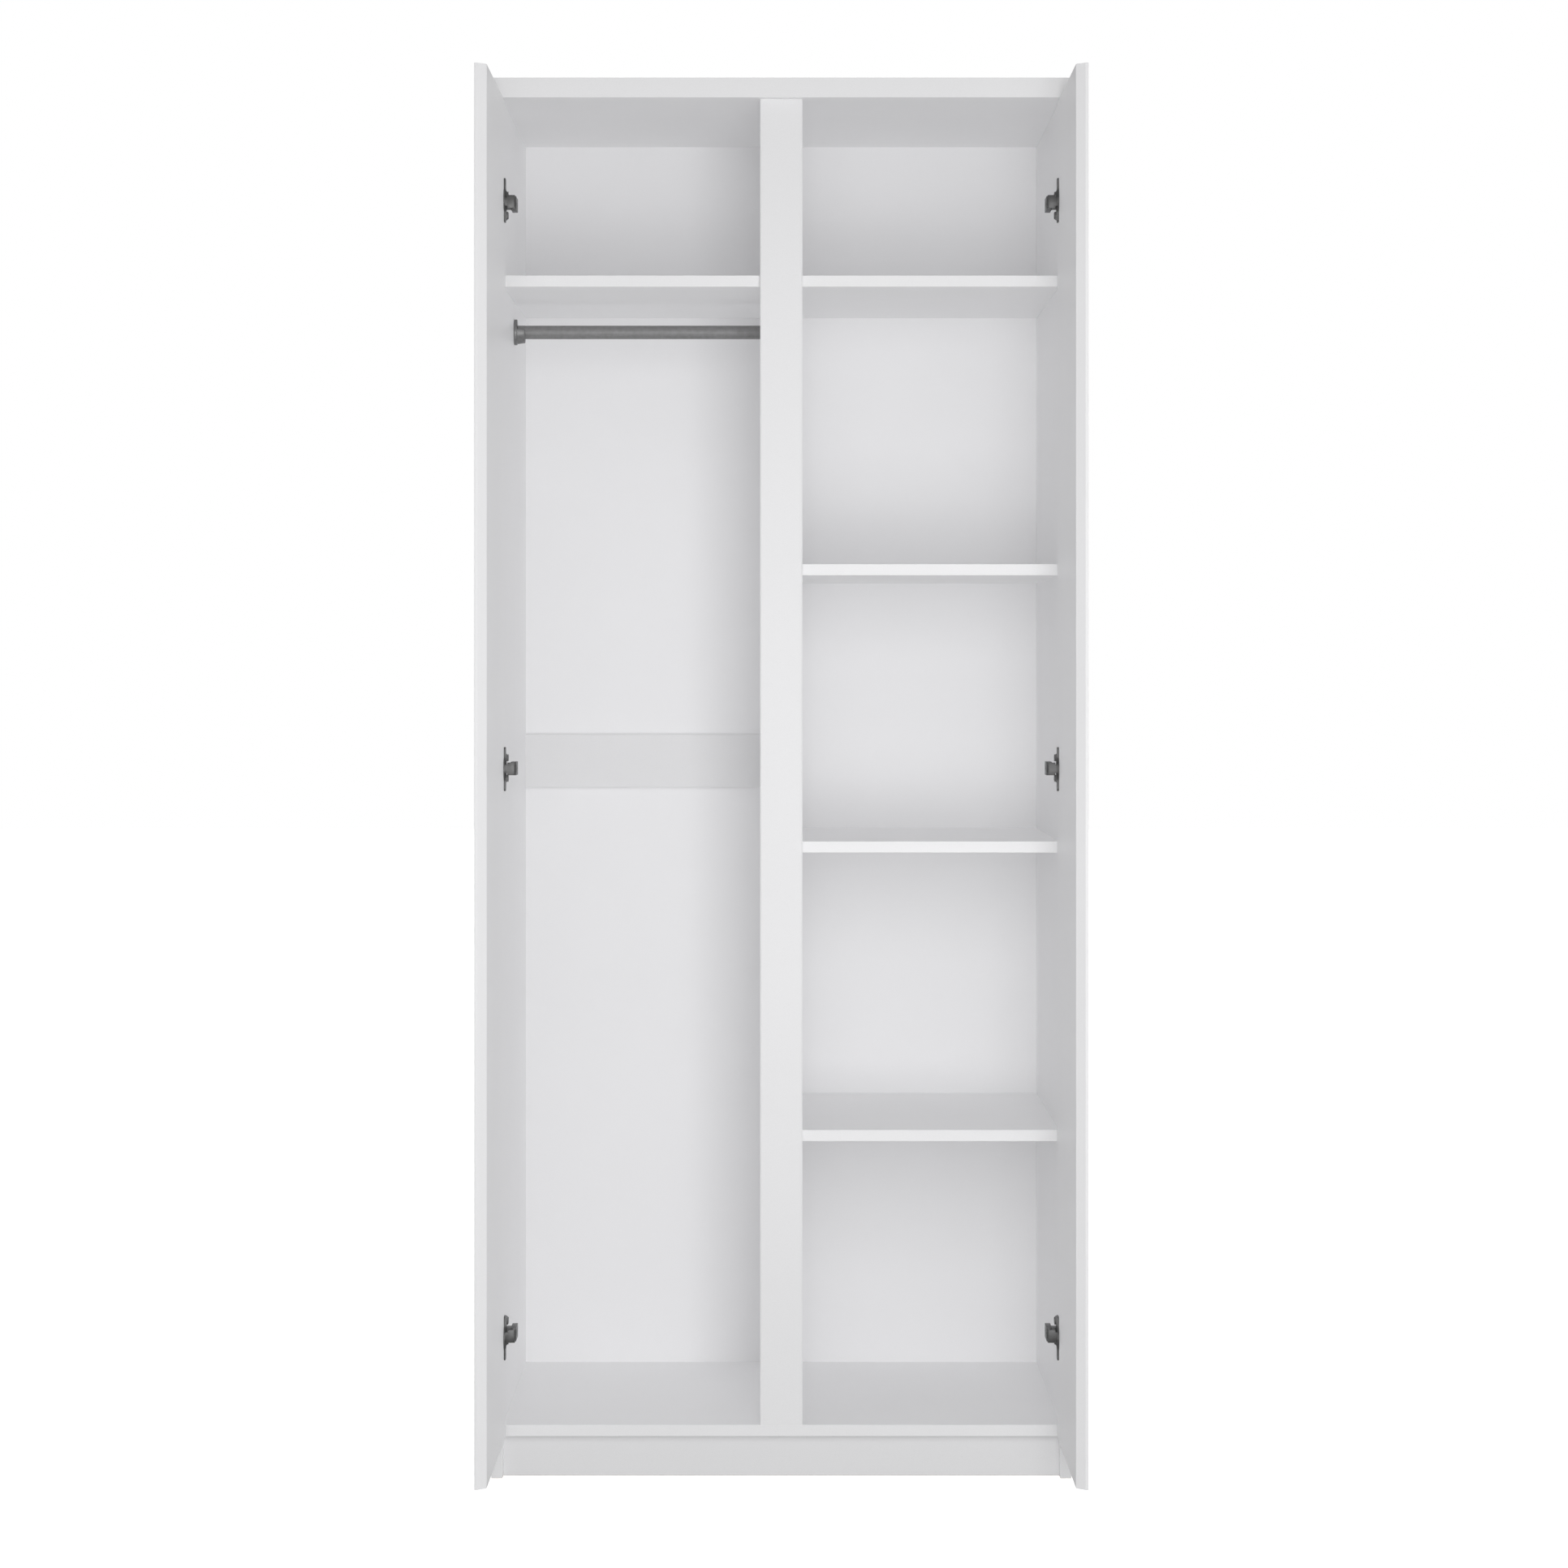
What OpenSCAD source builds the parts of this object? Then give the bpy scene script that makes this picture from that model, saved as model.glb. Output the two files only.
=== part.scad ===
// Two-door wardrobe: hanging space on the left, four shelves on the right.
// Flat-pack board construction with overlay doors on concealed cup hinges.
// Millimetres. +Z is up and the doors face -Y. The origin is on the floor, in the
// middle of the overall box with both doors standing open at a right angle.

/* [Carcass] */
// Width over the two side panels
body_w = 824; // [760:1:900]
// Depth of the side panels, without the back sheet
side_d = 550; // [500:1:600]
// Overall height
body_h = 1987; // [1960:1:2050]
// Thickness of every board except the top
board_t = 16; // [16:1:18]
// Thickness of the top panel
top_t = 28; // [22:1:30]
// How far the top panel stands forward of the sides
top_nose = 18; // [10:1:20]
// Thickness of the back sheets
back_t = 3; // [3:0.5:4]
// Height of the plinth, up to the floor panel
plinth_h = 60; // [50:1:80]
// Distance of the plinth behind the front edges
plinth_setback = 20; // [10:1:40]

/* [Middle and shelves] */
// Width of the upright strip that covers the front of the divider
stile_w = 60; // [50:1:80]
// Distance of the shelf fronts behind the front edges
shelf_setback = 17; // [17:1:30]
// Underside of the top shelf, on both sides
shelf_top_z = 1694; // [1680:1:1720]
// Underside of the upper shelf
shelf_upper_z = 1283; // [1200:1:1350]
// Underside of the middle shelf
shelf_middle_z = 888; // [800:1:960]
// Underside of the lower shelf
shelf_lower_z = 477; // [400:1:560]

/* [Rear rail] */
// Height of the stiffening rail behind the hanging space
rail_h = 82; // [60:1:100]
// Underside of the stiffening rail
rail_z = 967; // [900:1:1040]

/* [Hanging rod] */
// Diameter of the rod
rod_d = 20; // [18:1:22]
// Height of the rod's centre line
rod_z = 1649; // [1640:1:1655]
// Distance of the rod behind the front edges
rod_back = 266; // [240:1:290]
// Diameter of a rod socket's flange
socket_d = 38; // [36:1:40]
// Distance that a rod socket reaches out from its board
socket_reach = 16; // [14:1:20]

/* [Doors] */
// Width of a door
door_w = 390; // [370:1:391]
// Height of a door
door_h = 1895; // [1890:1:1896]
// Height of the door's lower edge above the floor
door_z = 59; // [57:1:60]
// Width of the 45 degree finger bevel on the inner side of the free edge
bevel = 12; // [8:1:13]
// Gap between a closed door and the carcass front
door_gap = 3; // [2.6:0.1:3.2]

/* [Hinges] */
// Height of the bottom hinges
hinge_bottom_z = 204; // [150:1:260]
// Height of the middle hinges
hinge_middle_z = 1008; // [960:1:1100]
// Height of the top hinges
hinge_top_z = 1812; // [1750:1:1850]
// Diameter of the cup that is let into the door
cup_d = 35; // [35:1:35]
// Depth of the cup
cup_depth = 12; // [11.5:0.1:12.2]
// Distance of the cup's centre from the door's hinged edge
cup_edge = 22.5; // [22:0.1:23]

/* [Hidden] */
SIDES = ["left", "right"];
HEIGHTS = ["bottom", "middle", "top"];
$fn = 48;

// Colours of the finishes
white = [0.94, 0.94, 0.945];
sheet_white = [0.92, 0.92, 0.925];
grey_metal = [0.36, 0.36, 0.37];
rod_grey = [0.55, 0.55, 0.56];
zinc = [0.7, 0.7, 0.72];
beech = [0.78, 0.62, 0.43];

// Carcass planes
half_w = body_w / 2;
inner_x = half_w - board_t;
full_d = side_d + back_t;
side_h = body_h - top_t;
floor_top = plinth_h + board_t;

// Door standing open at a right angle: where its hinged edge and inner face are
door_ahead = 4;
door_open_inset = 4.2;
door_x = inner_x - door_open_inset;
door_reach = door_ahead + door_w;

// Planes along the depth
front_y = (door_reach - full_d) / 2;
rear_y = front_y + side_d;
divider_x = board_t / 2;
divider_front = front_y + board_t;

// A hair of room around a part that sits in a hole
snug = 0.02;
// Turning play around a hinge pin
turn_play = 0.05;

// Hinge pins, as [distance from the wardrobe's middle, distance ahead of the front]
pin_r = 1.5;
pin_from_edge = 12;
pin_from_face = 2;
link_reach = 20;
cup_pin_closed = [half_w - pin_from_edge, door_gap + pin_from_face];
cup_pin_open = [door_x + pin_from_face, door_ahead + pin_from_edge];
pin_chord = cup_pin_open - cup_pin_closed;
arm_pin = (cup_pin_open + cup_pin_closed) / 2
    - link_reach * [pin_chord[1], -pin_chord[0]] / norm(pin_chord);
link_elbow = [inner_x - 17, 14];

// Hinge metalwork
link_t = 3;
link_half_h = 9;
link_tail_half_h = 6;
link_tail_start = 5.6;
arm_eye_r = 3;
cup_eye_r = 2.4;
nose_half_h = 5;
cheek_play = 0.3;
arm_skin = 1.5;
arm_half_h = 9.5;
arm_reach_x = inner_x - 19;
arm_channel_w = 7.5;
arm_front = 4;
arm_back = 46;
plate_proud = 6;
plate_half_h = 20.5;
plate_front = 28;
plate_back = 46;
plate_chamfer = 3;
plate_thin = 3;
plate_pad_z = 10;
ridge_half_h = 5;
ridge_front = 24;
ridge_back = 52;
plate_screw_z = 16;
plate_screw_back = 37;
plate_screw_len = 15;
plate_screw_r = 2;
plate_head_r = 4;
plate_head_h = 2;
arm_screw_back = [14, 37];
arm_screw_r = 2.5;
arm_screw_len = 12;
arm_screw_head_r = 4;
arm_screw_head_h = 1.6;
cup_wall = 0.75;
cup_floor_t = 0.7;
flange_t = 2;
flange_rim_r = 19.5;
flange_half_h = 31;
flange_half_w = 10.5;
flange_corner_r = 4;
cup_screw_z = 24;
cup_screw_depth = 12;
cup_screw_r = 1.75;
cup_head_r = 3.6;
lug_half_w = 2.4;
lug_t = 2;

// Rod and sockets
rod_y = front_y + rod_back;
socket_plate_t = 4.5;
socket_cup_r = 16;
socket_bore_r = rod_d / 2 + 0.3;
socket_rim_above = 4;
rod_end_play = 0.5;
rod_x0 = -inner_x + socket_plate_t + rod_end_play;
rod_x1 = -divider_x - socket_plate_t - rod_end_play;
socket_screw = [8.5, 11];
socket_screw_r = 1.75;
socket_head_r = 3.4;
socket_head_h = 2;
socket_screw_len = 14;

// Fasteners
dowel_r = 4;
dowel_half = 15;
screw_r = 2.5;
screw_head_r = 5;
screw_head_h = 4;
screw_len = 60;
cam_r = 7.5;
cam_h = 12.5;
cam_from_end = 34;
bolt_r = 3;
bolt_in_divider = 7;
rail_cam_up = 56;
rail_dowel_up = 20;
dowel_in_side = 11;
stile_dowel_z = [300, 1000, 1600];
nail_r = 0.8;
nail_len = 22;
nail_pitch = 155;
nail_inset = 60;

// Positions along the depth of the boards that fasteners use
dowel_rows = [front_y + 90, rear_y - 90];
screw_rows = [front_y + 50, rear_y - 50];

// ---- small shared shapes ----

// A board between two opposite corners
module board(lo, hi) {
    translate(lo) cube(hi - lo);
}

// A round bar from a point along +X, +Y or +Z
module bar_x(p, r, len) {
    translate(p) rotate([0, 90, 0]) cylinder(h = len, r = r);
}
module bar_y(p, r, len) {
    translate(p) rotate([-90, 0, 0]) cylinder(h = len, r = r);
}
module bar_z(p, r, len) {
    translate(p) cylinder(h = len, r = r);
}

// Mirrors a right-hand shape for the left side
module on_side(s) {
    mirror([s == "left" ? 1 : 0, 0, 0]) children();
}

// Height of a hinge by name
function hinge_z(h) = h == "bottom" ? hinge_bottom_z : h == "middle" ? hinge_middle_z : hinge_top_z;

// Moves a hinge shape, drawn about the carcass front plane, to its place
module at_hinge(s, h) {
    on_side(s) translate([0, front_y, hinge_z(h)]) children();
}

// A pin position as a point on the hinge's plan
function plan(p) = [p[0], -p[1]];

// ---- fasteners, each drawn with extra room so that it can also cut its own hole ----

// Dowels: their centres and directions
module dowel_set(room) {
    r = dowel_r + room;
    l = 2 * (dowel_half + room);
    start = -dowel_half - room;
    // How far a dowel's middle stands off the joint, towards the board with more room
    shift = dowel_half - dowel_in_side;
    for (y = dowel_rows) {
        for (x = [-half_w + board_t / 2, 0, half_w - board_t / 2])
            bar_z([x, y, side_h + start + shift], r, l);
        bar_z([0, y, floor_top + start + shift], r, l);
        for (s = [-1, 1])
            bar_x([s * (inner_x - shift) + start, y, floor_top - board_t / 2], r, l);
    }
    for (z = stile_dowel_z)
        bar_y([0, divider_front + start + shift, z], r, l);
    for (s = [-1, 1])
        bar_x([s * (inner_x - shift) + start, front_y + plinth_setback + board_t / 2, plinth_h / 2], r, l);
    for (x = [-inner_x + shift, -divider_x - shift])
        bar_x([x + start, rear_y - board_t / 2, rail_z + rail_dowel_up], r, l);
}

// Long screws down through the top, and up through the floor into the divider
module panel_screw_set(room) {
    for (y = screw_rows) {
        for (x = [-half_w + board_t / 2, 0, half_w - board_t / 2]) {
            bar_z([x, y, body_h - screw_len - room], screw_r + room, screw_len);
            bar_z([x, y, body_h - screw_head_h - room], screw_head_r + room, screw_head_h + 2 * room);
        }
        bar_z([0, y, plinth_h + room], screw_r + room, screw_len);
        bar_z([0, y, plinth_h - room], screw_head_r + room, screw_head_h + 2 * room);
    }
}

// Cam discs: under the floor panel and in the rear of the rail
module cam_set(room) {
    for (y = screw_rows)
        for (s = [-1, 1])
            bar_z([s * (inner_x - cam_from_end), y, plinth_h - room], cam_r + room, cam_h + 2 * room);
    for (x = [-inner_x + cam_from_end, -divider_x - cam_from_end])
        bar_y([x, rear_y - cam_h - room, rail_z + rail_cam_up], cam_r + room, cam_h + 2 * room);
}

// Cam bolts: from the neighbouring board to the middle of its cam
module cam_bolt(room, x, len, y, z) {
    bar_x([x - room, y, z], bolt_r + room, len + 2 * room);
}
module cam_bolt_set(room) {
    len = dowel_in_side + cam_from_end;
    rail_y = rear_y - board_t / 2;
    for (y = screw_rows) {
        cam_bolt(room, -inner_x - dowel_in_side, len, y, floor_top - board_t / 2);
        cam_bolt(room, inner_x - cam_from_end, len, y, floor_top - board_t / 2);
    }
    cam_bolt(room, -inner_x - dowel_in_side, len, rail_y, rail_z + rail_cam_up);
    cam_bolt(room, -divider_x - cam_from_end, cam_from_end + bolt_in_divider, rail_y, rail_z + rail_cam_up);
}

// Dowels in the ends of the shelves; the top shelves share theirs through the divider
module shelf_dowel_set(room) {
    len = 2 * (dowel_half + room);
    side_start = inner_x + dowel_in_side - 2 * dowel_half;
    for (y = dowel_rows) {
        for (z = [shelf_top_z, shelf_upper_z, shelf_middle_z, shelf_lower_z]) {
            x = z == shelf_top_z ? -dowel_half : divider_x - dowel_in_side;
            bar_x([side_start - room, y, z + board_t / 2], dowel_r + room, len);
            bar_x([x - room, y, z + board_t / 2], dowel_r + room, len);
        }
        bar_x([-side_start - 2 * dowel_half - room, y, shelf_top_z + board_t / 2], dowel_r + room, len);
    }
}

// Nails through the back sheets
module nail(room, x, z) {
    bar_y([x, rear_y + back_t - nail_len - room, z], nail_r + room, nail_len + 2 * room);
}
module nail_set(room) {
    rows = floor((side_h - floor_top - 2 * nail_inset) / nail_pitch);
    for (i = [0 : rows])
        for (x = [-half_w + board_t / 2, -divider_x / 2, divider_x / 2, half_w - board_t / 2])
            nail(room, x, floor_top + nail_inset + i * nail_pitch);
    for (i = [-2 : 2])
        if (i != 0)
            nail(room, i * nail_pitch, floor_top - board_t / 2);
}

// ---- carcass boards ----

module side_panel(s) {
    color(white)
    difference() {
        on_side(s) board([inner_x, front_y, 0], [half_w, rear_y, side_h]);
        dowel_set(snug);
        panel_screw_set(snug);
        cam_bolt_set(snug);
        shelf_dowel_set(snug);
        rod_screw_set(snug);
        nail_set(snug);
        for (h = HEIGHTS)
            at_hinge(s, h) plate_screws(snug);
    }
}

module top_panel() {
    color(white)
    difference() {
        board([-half_w, front_y - top_nose, side_h], [half_w, rear_y + back_t, body_h]);
        dowel_set(snug);
        panel_screw_set(snug);
    }
}

module floor_panel() {
    color(white)
    difference() {
        board([-inner_x, front_y, plinth_h], [inner_x, rear_y, floor_top]);
        dowel_set(snug);
        panel_screw_set(snug);
        cam_set(snug);
        cam_bolt_set(snug);
        nail_set(snug);
    }
}

module plinth() {
    color(white)
    difference() {
        board([-inner_x, front_y + plinth_setback, 0],
              [inner_x, front_y + plinth_setback + board_t, plinth_h]);
        dowel_set(snug);
    }
}

module divider() {
    color(white)
    difference() {
        board([-divider_x, divider_front, floor_top], [divider_x, rear_y, side_h]);
        dowel_set(snug);
        panel_screw_set(snug);
        cam_bolt_set(snug);
        shelf_dowel_set(snug);
        rod_screw_set(snug);
        nail_set(snug);
    }
}

module centre_stile() {
    color(white)
    difference() {
        board([-stile_w / 2, front_y, floor_top], [stile_w / 2, divider_front, side_h]);
        dowel_set(snug);
    }
}

// Shelf between two upright faces
module shelf(x0, x1, z) {
    color(white)
    difference() {
        board([x0, front_y + shelf_setback, z], [x1, rear_y, z + board_t]);
        shelf_dowel_set(snug);
    }
}

module back_rail() {
    color(white)
    difference() {
        board([-inner_x, rear_y - board_t, rail_z], [-divider_x, rear_y, rail_z + rail_h]);
        dowel_set(snug);
        cam_set(snug);
        cam_bolt_set(snug);
    }
}

// One of the two back sheets, which meet behind the divider
module back_panel(s) {
    color(sheet_white)
    difference() {
        on_side(s) board([0, rear_y, plinth_h], [half_w - 1, rear_y + back_t, side_h]);
        nail_set(snug);
    }
}

// ---- hanging rod and its sockets ----

module hanging_rod() {
    color(rod_grey)
    bar_x([rod_x0, rod_y, rod_z], rod_d / 2, rod_x1 - rod_x0);
}

// Screws of one socket, pointing along -X from the origin's flange face
module socket_screws(room) {
    for (s = [-1, 1]) {
        translate([socket_plate_t - socket_screw_len, s * socket_screw[0], socket_screw[1]])
            bar_x([-room, 0, 0], socket_screw_r + room, socket_screw_len - socket_head_h + 2 * room);
        translate([socket_plate_t - socket_head_h, s * socket_screw[0], socket_screw[1]])
            rotate([0, 90, 0])
            cylinder(h = socket_head_h + room, r1 = socket_screw_r + room, r2 = socket_head_r + room);
    }
}

// Places a socket shape at the left side panel or at the divider
module at_socket(s) {
    if (s == "left") {
        translate([-inner_x, rod_y, rod_z]) children();
    } else {
        translate([-divider_x, rod_y, rod_z]) mirror([1, 0, 0]) children();
    }
}

module rod_screw_set(room) {
    for (s = SIDES)
        at_socket(s) socket_screws(room);
}

// Round flange with an open-topped cup that the rod drops into
module rod_socket(s) {
    color(grey_metal)
    at_socket(s)
    difference() {
        union() {
            bar_x([0, 0, 0], socket_d / 2, socket_plate_t);
            difference() {
                rotate([0, 90, 0])
                    cylinder(h = socket_reach, r1 = socket_d / 2 - 1, r2 = socket_cup_r);
                translate([socket_plate_t, -socket_d, socket_rim_above])
                    cube([socket_reach, 2 * socket_d, socket_d]);
            }
        }
        bar_x([socket_plate_t, 0, 0], socket_bore_r, socket_reach);
        translate([socket_plate_t, -socket_bore_r, 0])
            cube([socket_reach, 2 * socket_bore_r, socket_d]);
        socket_screws(snug);
    }
}

// ---- doors ----

// Door panel in its open place, with the finger bevel on its free edge
module door(s) {
    y0 = front_y - door_ahead;
    y1 = y0 - door_w;
    color(white)
    difference() {
        on_side(s)
            translate([0, 0, door_z])
            linear_extrude(door_h)
            polygon([
                [door_x, y0],
                [door_x + board_t, y0],
                [door_x + board_t, y1],
                [door_x + bevel, y1],
                [door_x, y1 + bevel]
            ]);
        for (h = HEIGHTS)
            at_hinge(s, h) {
                translate([door_x, -door_ahead - cup_edge, 0])
                    rotate([0, 90, 0])
                    translate([0, 0, -1])
                    cylinder(h = cup_depth + 1 + 2 * snug, r = cup_d / 2);
                cup_screws(snug);
            }
    }
}

// ---- cup hinge, right-hand, drawn about the carcass front plane at the hinge's height ----

// Flat bar between two plan points
module plan_strip(a, b, w) {
    d = b - a;
    translate(a) rotate(atan2(d[1], d[0])) translate([0, -w / 2]) square([norm(d), w]);
}

// Extrudes a plan shape between two heights
module layer(z0, z1) {
    translate([0, 0, z0]) linear_extrude(z1 - z0) children();
}

// Plate that is screwed to the side panel: two thick pads, and a ridge between them for the arm
module hinge_plate(s, h) {
    top_x = inner_x - plate_proud;
    thin_x = inner_x - plate_thin;
    color(grey_metal)
    at_hinge(s, h)
    difference() {
        union() {
            translate([0, plate_back, 0])
                rotate([90, 0, 0])
                linear_extrude(plate_back - plate_front)
                polygon([
                    [inner_x, -plate_half_h],
                    [inner_x, plate_half_h],
                    [top_x + plate_chamfer, plate_half_h],
                    [top_x, plate_half_h - plate_chamfer],
                    [top_x, plate_pad_z],
                    [thin_x, plate_pad_z],
                    [thin_x, -plate_pad_z],
                    [top_x, -plate_pad_z],
                    [top_x, plate_chamfer - plate_half_h],
                    [top_x + plate_chamfer, -plate_half_h]
                ]);
            board([arm_reach_x + arm_skin, ridge_front, -ridge_half_h], [inner_x, ridge_back, ridge_half_h]);
        }
        plate_screws(snug);
        arm_screws(snug);
    }
}

// Two countersunk screws through the plate into the side panel
module plate_screws(room) {
    top_x = inner_x - plate_proud;
    for (z = [-plate_screw_z, plate_screw_z]) {
        bar_x([top_x + plate_head_h - room, plate_screw_back, z],
              plate_screw_r + room, plate_screw_len + 2 * room);
        translate([top_x, plate_screw_back, z]) rotate([0, 90, 0])
            cylinder(h = plate_head_h, r1 = plate_head_r + room, r2 = plate_screw_r + room);
    }
}

// Folded arm: a channel over the ridge, and a nose with the fixed pin's eye
module hinge_arm(s, h) {
    a = plan(arm_pin);
    root = [arm_reach_x + arm_eye_r, arm_front + 4];
    color(grey_metal)
    at_hinge(s, h)
    difference() {
        union() {
            difference() {
                board([arm_reach_x, arm_front, -arm_half_h],
                      [arm_reach_x + arm_channel_w, arm_back, arm_half_h]);
                board([arm_reach_x + arm_skin, ridge_front - 1, arm_skin - arm_half_h],
                      [inner_x, arm_back + 1, arm_half_h - arm_skin]);
            }
            layer(-nose_half_h, nose_half_h) {
                plan_strip(a, root, 2 * arm_eye_r);
                translate(a) circle(r = arm_eye_r);
            }
        }
        layer(-arm_half_h, arm_half_h) translate(a) circle(r = pin_r + snug);
        arm_screws(snug);
    }
}

// Adjusting screw and fixing screw through the arm, with heads flush in its face
module arm_screws(room) {
    for (y = arm_screw_back) {
        bar_x([arm_reach_x - room, y, 0], arm_screw_r + room, arm_screw_len + 2 * room);
        bar_x([arm_reach_x - room, y, 0], arm_screw_head_r + room, arm_screw_head_h + 2 * room);
    }
}

// Fixed pin in the arm's nose, which the link turns on
module arm_pin_shaft() {
    layer(-link_half_h, link_half_h) translate(plan(arm_pin)) circle(r = pin_r);
}

// Bent link between the arm pin and the cup pin
module hinge_link(s, h) {
    a = plan(arm_pin);
    e = plan(link_elbow);
    b = plan(cup_pin_open);
    tail = b + (e - b) * link_tail_start / norm(e - b);
    color(grey_metal)
    at_hinge(s, h)
    difference() {
        union() {
            for (z = [-link_half_h, nose_half_h + cheek_play])
                layer(z, z + link_half_h - nose_half_h - cheek_play) {
                    translate(a) circle(r = arm_eye_r);
                    plan_strip(a, e, link_t);
                }
            layer(-link_half_h, link_half_h) {
                translate(e) circle(d = link_t);
                plan_strip(e, tail, link_t);
            }
            layer(-link_tail_half_h, link_tail_half_h) {
                plan_strip(e, b, link_t);
                translate(b) circle(r = cup_eye_r);
            }
        }
        layer(-link_half_h - 1, link_half_h + 1) {
            translate(a) circle(r = pin_r + turn_play);
            translate(b) circle(r = pin_r + turn_play);
        }
    }
}

// Pin that joins the link to the cup's lugs
module cup_pin_shaft() {
    half = link_tail_half_h + cheek_play + lug_t;
    layer(-half, half) translate(plan(cup_pin_open)) circle(r = pin_r);
}

// Cup with its flange and the two lugs that hold the cup pin
module hinge_cup(s, h) {
    b = plan(cup_pin_open);
    lug_z = link_tail_half_h + cheek_play;
    color(grey_metal)
    at_hinge(s, h)
    difference() {
        union() {
            difference() {
                union() {
                    cup_axis(0, cup_depth, cup_d / 2 - snug);
                    cup_axis(-flange_t, 0, flange_rim_r);
                    cup_plate();
                }
                cup_axis(-flange_t - 1, cup_depth - cup_floor_t, cup_d / 2 - cup_wall);
            }
            for (z = [-lug_z - lug_t, lug_z])
                layer(z, z + lug_t) {
                    translate(b) circle(r = lug_half_w);
                    translate([b[0], b[1] - lug_half_w])
                        square([door_x + cup_depth - cup_floor_t - b[0], 2 * lug_half_w]);
                }
        }
        layer(-lug_z - lug_t - 1, lug_z + lug_t + 1) translate(b) circle(r = pin_r + snug);
        cup_screws(snug);
    }
}

// Disc about the cup's axis, between two depths into the door
module cup_axis(d0, d1, r) {
    translate([door_x + d0, -door_ahead - cup_edge, 0]) rotate([0, 90, 0]) cylinder(h = d1 - d0, r = r);
}

// Upright mounting plate of the cup, with rounded corners
module cup_plate() {
    in_z = flange_half_h - flange_corner_r;
    in_y = flange_half_w - flange_corner_r;
    translate([door_x - flange_t, -door_ahead - cup_edge, 0])
    rotate([0, 90, 0])
    linear_extrude(flange_t) {
        square([2 * in_z, 2 * flange_half_w], center = true);
        square([2 * flange_half_h, 2 * in_y], center = true);
        for (z = [-in_z, in_z])
            for (y = [-in_y, in_y])
                translate([z, y]) circle(r = flange_corner_r);
    }
}

// Two countersunk screws through the cup's plate into the door
module cup_screws(room) {
    for (z = [-cup_screw_z, cup_screw_z]) {
        bar_x([door_x - room, -door_ahead - cup_edge, z], cup_screw_r + room, cup_screw_depth + 2 * room);
        translate([door_x - flange_t, -door_ahead - cup_edge, z]) rotate([0, 90, 0])
            cylinder(h = flange_t, r1 = cup_head_r + room, r2 = cup_screw_r + room);
    }
}

// ---- drawing ----

side_panel("left");  // side_left
side_panel("right");  // side_right
top_panel();
floor_panel();
plinth();
divider();
centre_stile();
shelf(-inner_x, -divider_x, shelf_top_z);  // shelf_left_top
shelf(divider_x, inner_x, shelf_top_z);  // shelf_right_top
shelf(divider_x, inner_x, shelf_upper_z);  // shelf_right_upper
shelf(divider_x, inner_x, shelf_middle_z);  // shelf_right_middle
shelf(divider_x, inner_x, shelf_lower_z);  // shelf_right_lower
back_rail();
back_panel("left");  // back_panel_left
back_panel("right");  // back_panel_right
hanging_rod();
rod_socket("left");  // rod_socket_left
rod_socket("right");  // rod_socket_right
color(zinc) rod_screw_set(0);  // rod_socket_screws
color(beech) shelf_dowel_set(0);  // shelf_dowels
color(beech) dowel_set(0);  // panel_dowels
color(zinc) panel_screw_set(0);  // panel_screws
color(zinc) difference() { cam_set(0); cam_bolt_set(snug); }  // cam_locks
color(zinc) cam_bolt_set(0);  // cam_bolts
color(zinc) nail_set(0);  // back_nails
door("left");  // door_left
door("right");  // door_right
for (s = SIDES) {
    for (h = HEIGHTS) {
        hinge_plate(s, h);
        hinge_arm(s, h);
        hinge_link(s, h);
        hinge_cup(s, h);
        color(zinc) at_hinge(s, h) plate_screws(0);  // hinge_plate_screws
        color(zinc) at_hinge(s, h) arm_screws(0);  // hinge_arm_screws
        color(zinc) at_hinge(s, h) arm_pin_shaft();  // hinge_arm_pins
        color(zinc) at_hinge(s, h) cup_pin_shaft();
        color(zinc) at_hinge(s, h) cup_screws(0);
    }
}
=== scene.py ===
import math

import bmesh
import bpy
from mathutils import Matrix, Vector


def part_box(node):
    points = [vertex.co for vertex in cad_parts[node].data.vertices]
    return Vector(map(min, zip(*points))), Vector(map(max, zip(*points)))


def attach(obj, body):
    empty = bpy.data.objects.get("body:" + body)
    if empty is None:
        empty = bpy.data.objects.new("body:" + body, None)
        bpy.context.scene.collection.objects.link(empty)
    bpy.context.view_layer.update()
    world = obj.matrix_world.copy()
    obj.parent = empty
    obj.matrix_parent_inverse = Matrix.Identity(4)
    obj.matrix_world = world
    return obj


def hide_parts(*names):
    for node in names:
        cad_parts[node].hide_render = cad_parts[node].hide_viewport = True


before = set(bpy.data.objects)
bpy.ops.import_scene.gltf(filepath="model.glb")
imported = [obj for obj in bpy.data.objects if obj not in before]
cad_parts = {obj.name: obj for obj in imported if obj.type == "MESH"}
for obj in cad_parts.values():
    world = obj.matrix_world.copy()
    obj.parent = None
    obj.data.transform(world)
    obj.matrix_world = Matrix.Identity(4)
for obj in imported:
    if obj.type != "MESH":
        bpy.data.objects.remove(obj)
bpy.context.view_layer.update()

MM = 0.001
SIDES = ("left", "right")
HEIGHTS = ("bottom", "middle", "top")
SIGN = {"left": -1, "right": 1}

# Front plane of the carcass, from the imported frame
FRONT_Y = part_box("side_right")[0].y

# Finish of the boards
EDGE_R = 0.5 * MM
BAND_T = 1.0 * MM
BAND_R = 0.7 * MM
BAND_SEAM = 0.08 * MM
RAW_T = 0.3 * MM
RAW_R = 0.1 * MM
SHEET_FACE_T = 0.4 * MM
SHEET_FACE_R = 0.1 * MM
SHEET_REAR_R = 0.3 * MM

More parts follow.
